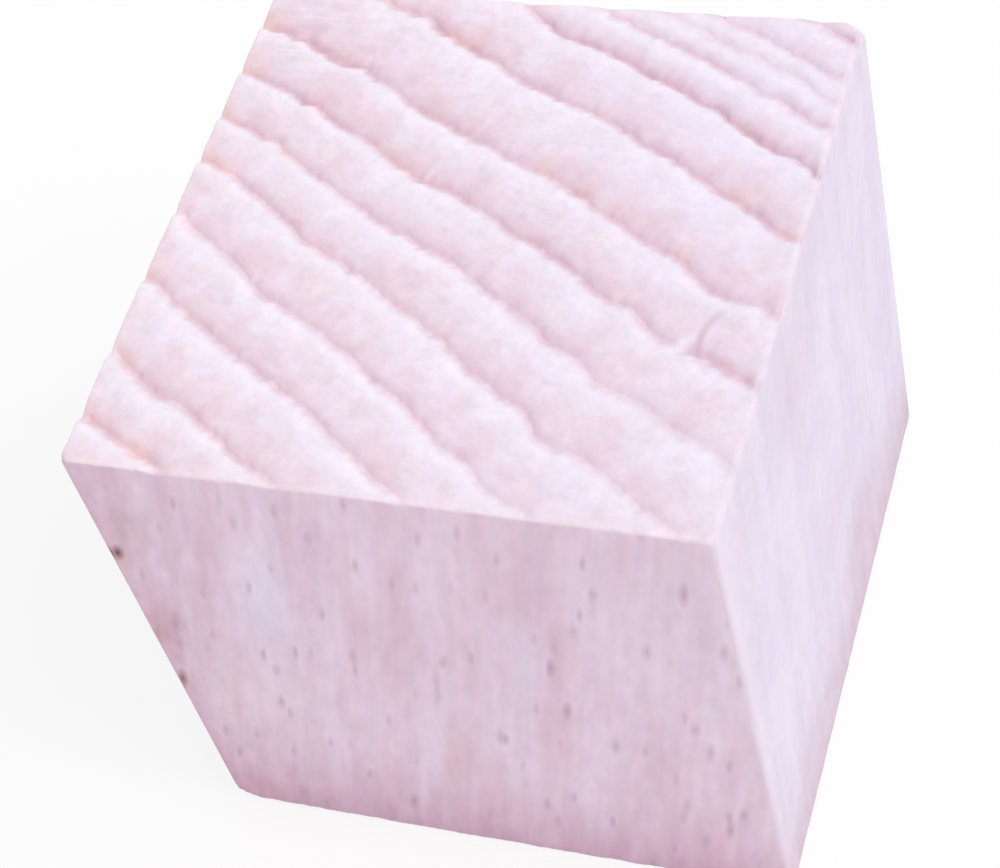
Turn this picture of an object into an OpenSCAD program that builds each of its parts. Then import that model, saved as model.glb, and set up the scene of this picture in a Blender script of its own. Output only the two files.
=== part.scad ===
// Wooden cube: a small block sawn from pale wood and lightly sanded.
// The grain runs upright, so the top is end grain. Across it, the soft early wood of every
// growth ring has sunk and the hard late wood stands proud, which leaves a run of low
// steps like shallow shingles. The underside and the four long-grain sides are sanded flat.
// x runs along the front, y runs to the back, z up. The origin is at the middle of the underside.

/* [Block] */
// Width along the front
block_w = 25; // [15:0.5:40]
// Depth from front to back
block_d = 25; // [15:0.5:40]
// Height along the grain
block_h = 25; // [10:0.5:40]

/* [Sanding] */
// Radius of the broken edges
edge_r = 0.3; // [0.1:0.05:0.6]
// Length of edge lost at an ordinary corner
corner_loss = 0.45; // [0.4:0.05:2]
// Length of edge lost at the top corner behind on the right
back_corner_loss = 0.9; // [0.4:0.05:2]
// Length of edge lost at the worn bottom corner in front on the left
front_corner_loss = 1.3; // [0.4:0.05:2]

/* [Growth rings] */
// Slant of the ring lines, seen from above
ring_slant = -30; // [-60:1:-10]
// How far ring 7's inner line lies beyond the middle of the block, outwards
ring_start = 0.8; // [-3:0.05:3]
// Depth of an average groove
groove_depth = 0.25; // [0.1:0.01:0.5]
// How far a line wanders by itself to either side
wander = 0.06; // [0:0.01:0.15]
// Share of the groove depth that was sanded off at the front right corner
sanded_share = 0.5; // [0:0.05:0.9]
// Distance over which that sanding fades out
sanded_reach = 9; // [4:0.5:15]

/* [Hidden] */

// Growth rings from the pith side outwards. Each has its width, the lean of its inner
// line in degrees, and the depth of the groove there as a share of the average.
RINGS = [
    [2.50, -0.2, 1.0], [2.30, -0.6, 1.1], [2.94, -1.9, 0.8], [2.70, -2.8, 0.8],
    [2.80, -2.8, 0.8], [2.58, -2.1, 0.9], [2.67,  0.3, 0.8], [2.70,  1.8, 1.0],
    [3.48,  2.6, 1.0], [2.91,  2.2, 1.1], [1.79,  2.1, 1.7], [1.12,  2.8, 0.9],
    [0.87,  4.4, 0.5], [1.75,  5.8, 0.9], [2.00,  6.4, 1.2]
];
FIRST_RING = 7;  // the ring that ring_start places

// Section across one ring, from its inner line outwards: how far across it, as a share of
// its width, and how deep, as a share of its groove. It climbs fast out of the groove, then
// slowly to a rounded crest, and drops sharply to the groove of the next ring.
SECTION = [[0, 1], [0.06, 0.62], [0.16, 0.34], [0.42, 0.14], [0.78, 0], [0.92, 0.03]];

// Swells that all lines share, because a ring grows over the bumps of the one inside it:
// place along the ring, height outwards and half width.
SWELLS = [
    [-13.7, 0.15, 0.4], [-10.4, 0.2, 0.45], [-10.5, 0.34, 4.7], [-4.8, -0.18, 1.9],
    [-0.5, 0.4, 7.4], [7.5, 0.44, 1.1], [8, -0.5, 2.2], [11, 0.12, 0.5]
];

WANDER_TURN = [70, 151];   // degrees of wave for each millimetre along a line
WANDER_SHIFT = [137, 71];  // degrees by which the waves differ from ring to ring
CORNER_BOW = 3;            // how flat a worn corner is: its ball's centre, in losses from the faces
FACETS = 9500;             // triangles that the ring surface is made of
OVERHANG = 0.8;            // how far the ring surface runs past the block all round
END_HALF = 0.5;            // half length of the rows beyond the block's corners
BELOW = 1;                 // how far its body runs past the underside
ARC_FN = 48;

along = [cos(ring_slant), sin(ring_slant)];    // along the ring lines
across = [-sin(ring_slant), cos(ring_slant)];  // outwards from the pith, across the lines
half = [block_w / 2 + OVERHANG, block_d / 2 + OVERHANG];
widest = max([for (r = RINGS) r[0]]);
reach = half * [abs(across.x), abs(across.y)] + widest / 2;  // outermost rows, from the middle
ring_span = ceil(2 * reach / min([for (r = RINGS) r[0]]));

function sum(list, i = 0) = i >= len(list) ? 0 : list[i] + sum(list, i + 1);
function ring(k) = RINGS[(k % len(RINGS) + len(RINGS)) % len(RINGS)];
function swell(t) = sum([for (w = SWELLS) w[1] * exp(-pow((t - w[0]) / w[2], 2))]);
function stray(k, t) = wander * sum([for (i = [0, 1])
    sin(WANDER_TURN[i] * t + WANDER_SHIFT[i] * k) / (i + 1)]);

// Distance of ring k's inner line from the block's middle, and the same at t along the line
function line_at(k) = ring_start + (k >= FIRST_RING
    ? sum([for (i = [FIRST_RING : 1 : k - 1]) ring(i)[0]])
    : -sum([for (i = [k : 1 : FIRST_RING - 1]) ring(i)[0]]));
function line(k, t) = line_at(k) + tan(ring(k)[1]) * t + swell(t) + stray(k, t);

// The row that lies the share u of the way across ring k
function row_at(k, u) = (1 - u) * line_at(k) + u * line_at(k + 1);
function row(k, u, t) = (1 - u) * line(k, t) + u * line(k + 1, t);

// Where a straight line at distance s leaves the block's outline, at its start (-1) or end (1)
function leaves(s, end) = let(
    cuts = [for (i = [0, 1]) end * half[i] / abs(along[i]) - s * across[i] / along[i]])
    end > 0 ? min(cuts) : max(cuts);
function row_end(k, u, end, t = 0, tries = 6) =
    tries == 0 ? t : row_end(k, u, end, leaves(row(k, u, t), end), tries - 1);

rows = [for (k = [FIRST_RING - ring_span : FIRST_RING + ring_span], p = SECTION)
    if (abs(row_at(k, p[0])) < reach) [k, p[0], p[1]]];
steps = floor(FACETS / (2 * len(rows)));

// Share of the groove depth that is left at a place on the top
function kept(p) =
    1 - sanded_share * exp(-pow(norm(p - [block_w, -block_d] / 2) / sanded_reach, 2));
function top_z(k, depth, p) = block_h - groove_depth * ring(k)[2] * depth * kept(p);

// One cut through the ring body, along a row: its surface and its two feet
function row_loop(r) = let(
    ends = [row_end(r[0], r[1], -1), row_end(r[0], r[1], 1)],
    middle = (ends[0] + ends[1]) / 2,
    long = max((ends[1] - ends[0]) / 2, END_HALF),
    plan = [for (j = [0 : steps]) let(t = middle + long * (2 * j / steps - 1))
        row(r[0], r[1], t) * across + t * along])
    [[plan[0].x, plan[0].y, -BELOW],
     for (p = plan) [p.x, p.y, top_z(r[0], r[2], p)],
     [plan[steps].x, plan[steps].y, -BELOW]];

// Body whose top is the stepped end grain. It is skinned from row to row.
module ring_body() {
    n = steps + 3;
    last = (len(rows) - 1) * n;
    polyhedron(
        points = [for (r = rows) each row_loop(r)],
        faces = [
            [for (j = [0 : n - 1]) j],
            for (i = [0 : len(rows) - 2], j = [0 : n - 1])
                let(a = i * n + j, b = i * n + (j + 1) % n)
                each [[a, a + n, b], [b, a + n, b + n]],
            [for (j = [n - 1 : -1 : 0]) last + j]
        ],
        convexity = 4
    );
}

// Bar along z with its four long edges rounded
module bar(w, d, h) {
    linear_extrude(h, center = true) {
        square([w - 2 * edge_r, d], center = true);
        square([w, d - 2 * edge_r], center = true);
        for (x = [-1, 1], y = [-1, 1])
            translate([x * (w / 2 - edge_r), y * (d / 2 - edge_r)]) circle(edge_r, $fn = ARC_FN);
    }
}

// Block with all twelve edges rounded
module block() {
    translate([0, 0, block_h / 2]) intersection() {
        bar(block_w, block_d, block_h);
        rotate([90, 0, 0]) bar(block_w, block_h, block_d);
        rotate([90, 0, 90]) bar(block_d, block_h, block_w);
    }
}

// What a corner has lost: the part of it outside a ball that cuts each edge at the loss
module lost_corner(side, loss) {
    deep = CORNER_BOW * loss;
    at = [side.x * block_w / 2, side.y * block_d / 2, (1 + side.z) * block_h / 2];
    translate(at) difference() {
        cube(2.2 * loss, center = true);
        translate(-deep * side) sphere(norm([deep, deep, deep - loss]), $fn = ARC_FN);
    }
}

module wooden_cube() {
    color("#f0e2ee") intersection() {
        difference() {
            block();
            for (x = [-1, 1], y = [-1, 1], z = [-1, 1])
                lost_corner([x, y, z],
                    [x, y, z] == [1, 1, 1] ? back_corner_loss
                    : [x, y, z] == [-1, -1, -1] ? front_corner_loss
                    : corner_loss);
        }
        ring_body();
    }
}

wooden_cube();
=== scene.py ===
import bmesh
import bpy
import numpy as np
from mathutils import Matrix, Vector


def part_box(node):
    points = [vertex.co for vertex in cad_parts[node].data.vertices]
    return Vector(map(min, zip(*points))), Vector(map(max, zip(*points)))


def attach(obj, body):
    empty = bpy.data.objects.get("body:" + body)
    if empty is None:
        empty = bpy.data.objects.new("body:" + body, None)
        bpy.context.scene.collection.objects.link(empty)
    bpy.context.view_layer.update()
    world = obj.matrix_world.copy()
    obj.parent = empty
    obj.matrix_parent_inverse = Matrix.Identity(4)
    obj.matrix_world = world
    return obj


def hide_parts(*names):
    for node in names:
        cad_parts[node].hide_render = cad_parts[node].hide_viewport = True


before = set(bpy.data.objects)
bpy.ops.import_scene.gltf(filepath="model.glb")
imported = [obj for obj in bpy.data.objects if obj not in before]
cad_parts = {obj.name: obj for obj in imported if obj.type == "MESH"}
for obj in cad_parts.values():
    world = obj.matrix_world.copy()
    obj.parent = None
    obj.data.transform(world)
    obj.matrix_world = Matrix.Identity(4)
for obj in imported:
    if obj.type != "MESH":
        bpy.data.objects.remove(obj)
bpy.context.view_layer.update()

# ---------------------------------------------------------------------------------------------
# The wooden cube.
# A small block of pale beech, sawn off with its grain upright, planed on four sides and sanded. On
# the end grain on top, the soft early wood of each growth ring has sunk and the hard late wood
# stands proud, so the rings cross it as low stepped ridges.
# ---------------------------------------------------------------------------------------------
MM = 0.001                                # one millimetre, in metres
low, high = (np.array(corner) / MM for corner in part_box("wooden_cube"))
SIZE = high - low
WIDTH, DEPTH, HEIGHT = SIZE               # 25 mm each way

# The growth rings, from the pith side outwards: each ring's width, the lean of its inner line in
# degrees, its groove's depth as a share of the average, and how strongly its line's stain and painted
# shade show
RINGS = np.array([
    [2.50, -0.2, 1.0, 0.50], [2.30, -0.6, 1.1, 0.55], [2.94, -1.9, 0.8, 0.52], [2.70, -2.8, 0.8, 0.50],
    [2.80, -2.8, 0.8, 0.50], [2.58, -2.1, 0.9, 0.55], [2.67,  0.3, 0.8, 0.55], [2.70,  1.8, 1.0, 0.66],
    [3.48,  2.6, 1.0, 0.66], [2.91,  2.2, 1.1, 0.66], [1.79,  2.1, 1.5, 0.62], [1.12,  2.8, 0.9, 0.42],
    [0.87,  4.4, 0.5, 0.30], [1.75,  5.8, 0.9, 0.42], [2.00,  6.4, 1.2, 0.70]])
RING_WIDTH, RING_LEAN, RING_GROOVE, RING_STAIN_AND_SHADE = RINGS.T
FIRST_RING, RING_START = 7, 0.80          # this ring's inner line lies so far out from the middle
SLANT = np.radians(-30)                   # the rings' direction, seen from above
ALONG = np.array([np.cos(SLANT), np.sin(SLANT)])
ACROSS = np.array([-np.sin(SLANT), np.cos(SLANT)])
LINES = np.arange(-2, 18)                 # the ring lines that cross the block and its surroundings
line_places = np.concatenate([[0], np.cumsum(RING_WIDTH[LINES[:-1] % len(RINGS)])])
line_places += RING_START - line_places[LINES == FIRST_RING]

# How the ring lines wind. Swells that all of them share: place along the ring, height outwards and
# half width. Waves of their own: divisor, and turn in degrees for each millimetre and each ring.
# Torn fibres along each line: their length, and how far they reach.
SWELLS = np.array([
    [-13.7, 0.15, 0.4], [-10.4, 0.2, 0.45], [-10.5, 0.34, 4.7], [-4.8, -0.18, 1.9],
    [-0.5, 0.4, 7.4], [7.5, 0.44, 1.1], [8, -0.5, 2.2], [11, 0.12, 0.5]])
WANDER = 0.06
WAVES = [(1, 70, 137), (2, 151, 71)]
TORN = [(1.4, 0.03), (0.55, 0.055), (0.26, 0.07)]
TORN_APART = 7                            # cells of noise from one line to the next
NOISE_CELLS, NOISE_FROM = 64, 500         # cells before a noise repeats, and where it starts


def smooth_noise(x, y, cell, seed, eased=True):
    """Noise from -1 to 1: random heights at the corners of square cells, eased between them. Uneased,
    it runs straight from one corner to the next."""
    heights = np.random.default_rng(seed).uniform(-1, 1, (NOISE_CELLS, NOISE_CELLS))
    gx, gy = np.asarray(x) / cell + NOISE_FROM, np.asarray(y) / cell + NOISE_FROM
    ix, iy = np.floor(gx).astype(int), np.floor(gy).astype(int)
    fx, fy = gx - ix, gy - iy
    if eased:
        fx, fy = fx * fx * (3 - 2 * fx), fy * fy * (3 - 2 * fy)

    def corner(i, j):
        return heights[(ix + i) % NOISE_CELLS, (iy + j) % NOISE_CELLS]

    front = corner(0, 0) * (1 - fx) + corner(1, 0) * fx
    back = corner(0, 1) * (1 - fx) + corner(1, 1) * fx
    return front * (1 - fy) + back * fy


def line_across(n, t):
    """How far across the rings line n lies at t along it: its place, plus its lean times t, plus the
    swells that all lines share, plus its own sine waves and three sizes of ragged noise."""
    n, t = np.broadcast_arrays(n, t)
    swell = sum(height * np.exp(-((t - place) / half) ** 2) for place, height, half in SWELLS)
    stray = WANDER * sum(np.sin(np.radians(turn * t + shift * n)) / divisor for divisor, turn, shift in WAVES)
    ragged = sum(size * smooth_noise(t, n * TORN_APART * cell, cell, seed=5, eased=False)
                 for cell, size in TORN)
    lean = np.tan(np.radians(RING_LEAN[n % len(RINGS)]))
    return line_places[n - LINES[0]] + lean * t + swell + stray + ragged


def ring_share(x, y):
    """Ring number plus the share of the way across that ring, at a place on the plan: the line before
    the place, plus its distance from that line over the distance between the lines on either side."""
    t = x * ALONG[0] + y * ALONG[1]
    out = x * ACROSS[0] + y * ACROSS[1]
    lines = line_across(LINES[:, None], t[None, :])
    before = np.clip((lines <= out).sum(0) - 1, 0, len(LINES) - 2)
    place = np.arange(len(t))
    inner, outer = lines[before, place], lines[before + 1, place]
    return LINES[before] + np.clip((out - inner) / (outer - inner), 0, 1)


# The relief of the end grain: the section across a ring, and what sanding has taken off
GROOVE = 0.23                             # depth of an average groove
QUICK_SHARE, QUICK_REACH = 0.74, 0.27     # the fast climb out of a groove: its share and its reach
SLOW_POWER = 1.8                          # how the slow climb bends
DROP, DROP_SHARE = 0.42, 0.35             # the drop to the next groove: its width, or share of a narrow ring
SANDED, SANDED_REACH = 0.5, 9.0           # share of depth lost at the front right corner, and how far
FILLED = 9.2, -4.0, 0.33                  # where a chip has filled a groove: its place and size
RIM_FRONT, RIM_BACK, RIM_LEFT = 0.4, 0.5, 0.15   # width of the level rim on each side
RIM_RIGHT, RIM_VARIES, RIM_CELL = 0.34, 0.14, 0.8   # on the right it varies over less than a millimetre
RIM_LEVEL = 0.75                          # share of the relief that is gone at the very edge
UNEVEN = [(0.33, 0.008, 11), (2.1, 0.012, 12)]   # hollows left by sanding: size, depth and seed


def bell(x, y, at_x, at_y, size):
    """A round bell curve: 1 at its middle, and 1/e at the given size from it."""
    return np.exp(-((x - at_x) ** 2 + (y - at_y) ** 2) / size ** 2)


def kept(x, y):
    """Share of the relief that is left: less near the front right corner, fading as a bell curve, and
    none where a chip has filled the groove."""
    return (1 - SANDED * bell(x, y, WIDTH / 2, -DEPTH / 2, SANDED_REACH)) * (1 - bell(x, y, *FILLED))


def rim(x, y):
    """How near a place on top is to an edge, where sanding has left a level pale border: a bell curve
    as wide as the rim on that side, uneven on the right."""
    right = (WIDTH / 2 - x) / (RIM_RIGHT + RIM_VARIES * smooth_noise(y, x, RIM_CELL, seed=41))
    others = [(DEPTH / 2 + y) / RIM_FRONT, (DEPTH / 2 - y) / RIM_BACK, (WIDTH / 2 + x) / RIM_LEFT]
    return np.exp(-np.minimum(right, np.min(others, 0)).clip(0) ** 2)


def relief_depth(share, x, y):
    """Depth below the ridges: a fast exponential climb out of each groove, then a slow one to the
    crest, plus the rounded drop into the next groove, times what sanding has left."""
    n = np.floor(share).astype(int)
    u = share - n
    width = RING_WIDTH[n % len(RINGS)]
    climb = QUICK_SHARE * np.exp(-u * width / QUICK_REACH) + (1 - QUICK_SHARE) * (1 - u) ** SLOW_POWER
    drop = np.clip(1 - (1 - u) * width / np.minimum(DROP, DROP_SHARE * width), 0, 1)
    drop = drop * drop * (3 - 2 * drop)
    inner, outer = RING_GROOVE[n % len(RINGS)], RING_GROOVE[(n + 1) % len(RINGS)]
    depth = GROOVE * (inner * climb + outer * drop) * kept(x, y)
    return depth * (1 - RIM_LEVEL * rim(x, y))


def grid_faces(rows, columns):
    """Quads of a grid whose vertices are counted along its rows."""
    a = (np.arange(rows - 1)[:, None] * columns + np.arange(columns - 1)).ravel()
    return np.stack([a, a + 1, a + columns + 1, a + columns], -1)


# The sheet of end grain: rows run along the rings and are closest where a ring drops, columns run
# across them. Its third coordinate is the ring share until the block's outline is cut out of it.
ROWS_A_RING = np.array([0, 0.025, 0.055, 0.095, 0.15, 0.22, 0.32, 0.45, 0.59, 0.72, 0.82, 0.88, 0.92, 0.95,
                        0.975])
HALF_ROW, ROW_POINTS, FARTHEST = 17.4, 322, 18   # half a row's length, its points, and the last row out
rows = (LINES[1:-1, None] + ROWS_A_RING).ravel()
t = np.linspace(-HALF_ROW, HALF_ROW, ROW_POINTS)
n = np.floor(rows).astype(int)[:, None]
u = rows[:, None] - n
out = (1 - u) * line_across(n, t[None, :]) + u * line_across(n + 1, t[None, :])
wanted = (np.abs(out) < FARTHEST).any(1)
out, share = out[wanted], np.repeat(rows[wanted, None], len(t), 1)
sheet = np.stack([out * ACROSS[0] + t * ALONG[0], out * ACROSS[1] + t * ALONG[1], share], -1)

EDGE = 0.25                               # width of the band in which an edge is rounded
SNAP = 1e-4                               # points this near a cut are moved onto it
in_x, in_y = WIDTH / 2 - EDGE, DEPTH / 2 - EDGE
sheet_mesh = bpy.data.meshes.new("sheet")
sheet_mesh.from_pydata(sheet.reshape(-1, 3).tolist(), [], grid_faces(*sheet.shape[:2]).tolist())
cut = bmesh.new()
cut.from_mesh(sheet_mesh)
for x, y in [(1, 0), (-1, 0), (0, 1), (0, -1)]:
    bmesh.ops.bisect_plane(
        cut, geom=cut.verts[:] + cut.edges[:] + cut.faces[:], dist=SNAP,
        plane_co=(x * in_x, y * in_y, 0), plane_no=(x, y, 0), clear_outer=True)
bmesh.ops.delete(cut, geom=[v for v in cut.verts if not v.link_faces], context="VERTS")
cut.verts.index_update()
top = np.array([v.co for v in cut.verts])
top_corners = np.array([v.index for face in cut.faces for v in face.verts])
top_sizes = np.array([len(face.verts) for face in cut.faces])
outline = np.array(sorted({v.index for e in cut.edges if e.is_boundary for v in e.verts}))
cut.free()
bpy.data.meshes.remove(sheet_mesh)

top_x, top_y, top_share = top.T
top_z = HEIGHT - relief_depth(top_share, top_x, top_y)
for cell, depth, seed in UNEVEN:
    top_z -= depth * (1 + smooth_noise(top_x, top_y, cell, seed)) * (1 - rim(top_x, top_y))

# The sides and the underside. The four long-grain faces are planed flat, and meet in edges broken
# with a stroke of sandpaper. First, the outline's points are put in order: how far each lies along
# a walk round the block, which starts at the front left corner and goes to the right.
x, y = top_x[outline], top_y[outline]
side = np.abs(np.stack([y + in_y, x - in_x, y - in_y, x + in_x])).argmin(0)
round_trip = 4 * in_x + 4 * in_y
walk = np.choose(side, [x + in_x, 2 * in_x + y + in_y, 3 * in_x + 2 * in_y - x, round_trip - y - in_y])
order = np.argsort(walk)
outline, walk, side = outline[order], walk[order], side[order]

# Columns go round the block. At each of the four corners five columns share one place and turn
# outwards from one side to the next.
FRONT_AT, RIGHT_AT, BACK_AT, LEFT_AT = -np.pi / 2, 0, np.pi / 2, np.pi   # the angles the sides face
QUARTER = np.pi / 2
turn = np.linspace(0, QUARTER, 5)
CORNER_NEAR = 1e-3
from_corner = np.maximum(np.abs(np.abs(top_x[outline]) - in_x), np.abs(np.abs(top_y[outline]) - in_y))
at_corner = from_corner < CORNER_NEAR
repeats = np.where(at_corner, len(turn), 1)
column_at = np.repeat(outline, repeats)
column_walk = np.repeat(walk, repeats)
step = np.arange(len(column_at)) - np.repeat(np.cumsum(repeats) - repeats, repeats)
quarter = np.floor(np.arctan2(top_y[column_at], top_x[column_at]) / QUARTER) * QUARTER
square_on = np.array([FRONT_AT, RIGHT_AT, BACK_AT, LEFT_AT])[np.repeat(side, repeats)]
column_angle = np.where(np.repeat(at_corner, repeats), quarter + turn[step], square_on)
columns = len(column_at)
outward = np.stack([np.cos(column_angle), np.sin(column_angle)], -1)

# An edge's radius, as a share of the band, varies along it over a millimetre and again over a third
# of one. The edges on the left and at the back are sharper.
ROUNDED, ROUNDED_VARIES, ROUNDED_CELL = 0.66, 0.24, 0.9
NIBBLED, NIBBLED_CELL, SHARPER = 0.25, 0.35, 0.45
STRETCH_X, STRETCH_Y = 1.3, 0.9           # so that the front and the right-hand side vary differently
base = top[column_at, :2]
base_x, base_y = base.T
stretched = base_x * STRETCH_X + base_y * STRETCH_Y
radius = ROUNDED + ROUNDED_VARIES * smooth_noise(stretched, base_x - base_y, ROUNDED_CELL, seed=21)
radius *= EDGE * (1 + NIBBLED * smooth_noise(base_x + base_y, base_x - base_y, NIBBLED_CELL, seed=22))
radius *= 1 - SHARPER * np.maximum(-outward[:, 0], outward[:, 1]).clip(0)

# The rows go down: round the top edge, down the side and round the bottom edge
ARC = np.radians([0, 18, 36, 54, 72, 90])
DROPS = np.array([0.15, 0.4, 0.7, 1.05, 1.4, 2, 3, 6])   # rows of the side, from either edge
z_top, z_low = top_z[column_at] - radius, radius
fractions = np.concatenate([1 - DROPS / HEIGHT, [0.5], DROPS[::-1] / HEIGHT])
down = [(EDGE - radius + radius * np.sin(a), z_top + radius * np.cos(a)) for a in ARC]
down += [(np.full(columns, EDGE), z_low + (z_top - z_low) * f) for f in fractions]
down += [(EDGE - radius + radius * np.sin(a), z_low - radius * np.cos(a)) for a in ARC[::-1]]
wall = np.stack([np.column_stack([base + outward * reach[:, None], z]) for reach, z in down])

# The underside repeats the sheet of the top, laid flat
under = np.column_stack([top_x, top_y, np.zeros(len(top))])
points = np.concatenate([np.column_stack([top_x, top_y, top_z]), wall.reshape(-1, 3), under])
first_wall, first_under = len(top), len(top) + len(wall) * columns
on_side = slice(first_wall, first_under)


def band(upper, lower):
    """Faces between two loops of vertices that go round the block, as their corners in a row and each
    face's number of corners. Where a loop repeats a vertex, the quad closes to a triangle."""
    quads = np.stack([np.roll(upper, -1), upper, lower, np.roll(lower, -1)], -1)
    distinct = quads != np.roll(quads, 1, axis=1)
    return quads[distinct], distinct.sum(1)


side_loops = first_wall + np.arange(len(wall) * columns).reshape(len(wall), columns)
loops = [column_at, *side_loops, first_under + column_at]
bands = [band(upper, lower) for upper, lower in zip(loops, loops[1:])]
corners = np.concatenate([top_corners, *[some for some, _ in bands], first_under + top_corners[::-1]])
sizes = np.concatenate([top_sizes, *[some for _, some in bands], top_sizes[::-1]])

# Each face's material. The end grain reaches halfway round the edges.
END_GRAIN, LONG_GRAIN = 0, 1
half_arc = len(ARC) // 2
band_slots = np.full(len(bands), END_GRAIN)
band_slots[half_arc + 1:-half_arc - 1] = LONG_GRAIN
slots = np.repeat([END_GRAIN, *band_slots, END_GRAIN],
                  [len(top_sizes), *[len(some) for _, some in bands], len(top_sizes)])

# Corners: what lies outside a ball centred three losses in from the faces is moved onto the ball,
# which cuts each edge at the loss. The corner at the top behind on the right and the one at the
# bottom in front on the left have lost the most.
LOSS, LOSSES = 0.45, {(1, 1, 1): 0.85, (-1, -1, -1): 1.1}
BOW = 3                                   # how far in the ball's centre lies, in losses
for corner in np.ndindex(2, 2, 2):
    sign = np.array(corner) * 2 - 1
    loss = LOSSES.get(tuple(sign.tolist()), LOSS)
    ball = sign * SIZE / 2 + [0, 0, HEIGHT / 2] - BOW * loss * sign
    ball_radius = loss * np.linalg.norm([BOW, BOW, BOW - 1])
    away = points - ball
    far = np.linalg.norm(away, axis=1)
    outside = ((away * sign) > 0).all(1) & (far > ball_radius)
    points[outside] = ball + away[outside] * (ball_radius / far[outside])[:, None]

# The bottom edge in front is worn rounder towards the left
FOOT_WEAR, WORN_BAND, WEAR_POWER = 0.1, 0.45, 2.2
foot_wear = FOOT_WEAR * bell(points[:, 1], points[:, 2], -DEPTH / 2, 0, WORN_BAND)
foot_wear *= (0.5 - points[:, 0] / WIDTH).clip(0) ** WEAR_POWER
points[:, 1:] += foot_wear[:, None]

cube_mesh = bpy.data.meshes.new("sanded_cube")
cube_mesh.vertices.add(len(points))
cube_mesh.vertices.foreach_set("co", (points * MM).astype(np.float32).ravel())
cube_mesh.loops.add(len(corners))
cube_mesh.loops.foreach_set("vertex_index", corners.astype(np.int32))
cube_mesh.polygons.add(len(sizes))
cube_mesh.polygons.foreach_set("loop_start", (np.cumsum(sizes) - sizes).astype(np.int32))
cube_mesh.polygons.foreach_set("material_index", slots.astype(np.int32))
cube_mesh.polygons.foreach_set("use_smooth", np.ones(len(sizes), bool))
cube_mesh.update(calc_edges=True)

# The grain map of the sides, in mm: how far round the block, and how high. The grain leans to the
# right on its way up the front, most at the left, and hardly at all on the right-hand side.
LEAN_LEFT, LEAN_RIGHT, LEAN_SIDE = np.tan(np.radians([14, 9, 3]))


def grain_lean(x, angle):
    """How far the grain leans for each millimetre of height, on the side that faces the angle: the
    front's lean times how far the side faces the front, plus the right-hand side's lean likewise."""
    front = LEAN_LEFT + (LEAN_RIGHT - LEAN_LEFT) * (x / WIDTH + 0.5)
    return -np.sin(angle) * front + np.cos(angle) * LEAN_SIDE


def grain_place(walk, lean, z):
    """A place on the grain map: the walk round the block, straightened by the lean, and the height."""
    return np.stack([walk - lean * (z - HEIGHT / 2), z], -1)


# The walk ends where it starts, so a face there takes its first column one round trip further on
side_z = points[on_side, 2].reshape(len(wall), columns)
place_of = np.zeros((len(points), 2))
place_of[on_side] = grain_place(column_walk, grain_lean(base_x, column_angle), side_z).reshape(-1, 2)
corner_face = np.repeat(np.arange(len(sizes)), sizes)
corner_on_side = (corners >= first_wall) & (corners < first_under)
column = np.where(corner_on_side, (corners - first_wall) % columns, -1)
touches_last = np.bincount(corner_face, column == columns - 1) > 0
grain = place_of[corners]
grain[:, 0] += np.where((column == 0) & touches_last[corner_face], round_trip, 0)
cube_mesh.uv_layers.new(name="grain").data.foreach_set("uv", grain.astype(np.float32).ravel())

# What the materials read at each vertex: the ring share, and the ring's width. Below the top, the
# rings follow the grain.
px, py, pz = points.T
share = ring_share(px + (LEAN_LEFT + LEAN_RIGHT) / 2 * (HEIGHT - pz), py)
share[:len(top)] = top_share
number = np.floor(share).astype(int)
nearest = np.where(share - number < 0.5, number, number + 1)

# How strongly the nearest line's stain and painted shade show, and how warm they are. It varies in
# patches (size, share and seed) and in spots (how much, place and size), and it is warmest along the left
# edge.
STAIN_AND_SHADE_PATCHES = [(0.9, 0.3, 31), (3.1, 0.25, 32)]
STAIN_AND_SHADE_SPOTS = [(0.25, 11.1, -4.95, 0.7), (0.5, 11.9, -5.4, 0.25)]
WARM_PATCHES, WARM_SHIFT, WARM_EDGE = 1.7, -0.35, 1.6
WARM_SPOTS = [(1, 9.9, 2.9, 0.9), (1, 11.8, 1.1, 0.7), (1, 3.6, 2.9, 0.9), (1, 8.2, 0, 0.7),
              (1, -10.9, 2.3, 0.9), (1, -9.8, -11.6, 1), (0.5, 6, -6.5, 3.5)]
strength = RING_STAIN_AND_SHADE[nearest % len(RINGS)] * kept(px, py)
for cell, varies, seed in STAIN_AND_SHADE_PATCHES:
    strength *= 1 + varies * smooth_noise(px, py, cell, seed)
strength += sum(much * bell(px, py, *spot) for much, *spot in STAIN_AND_SHADE_SPOTS)
warmth = smooth_noise(px, py, WARM_PATCHES, seed=33) + WARM_SHIFT
warmth = np.maximum(warmth, 1 - (px + WIDTH / 2) / WARM_EDGE)
warmth += sum(much * bell(px, py, *spot) for much, *spot in WARM_SPOTS)

# The pale wood rays, which cross the rings: their places, half lengths and half width. And the
# patch near the far left corner where the saw's streaks still show.
RAYS = [(-0.9, 6.2, 1.1), (-2.6, 3.1, 0.6), (-8.2, -3.4, 0.7), (9.3, -4.2, 0.5)]
RAY_HALF = 0.13
SAWN = -9.6, 10, 3.2
rays = sum(np.exp(-(((px - x) * ACROSS[1] - (py - y) * ACROSS[0]) / RAY_HALF) ** 2)
           * np.exp(-(((px - x) * ACROSS[0] + (py - y) * ACROSS[1]) / half_long) ** 4)
           for x, y, half_long in RAYS)
streaks = bell(px, py, *SAWN)
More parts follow.
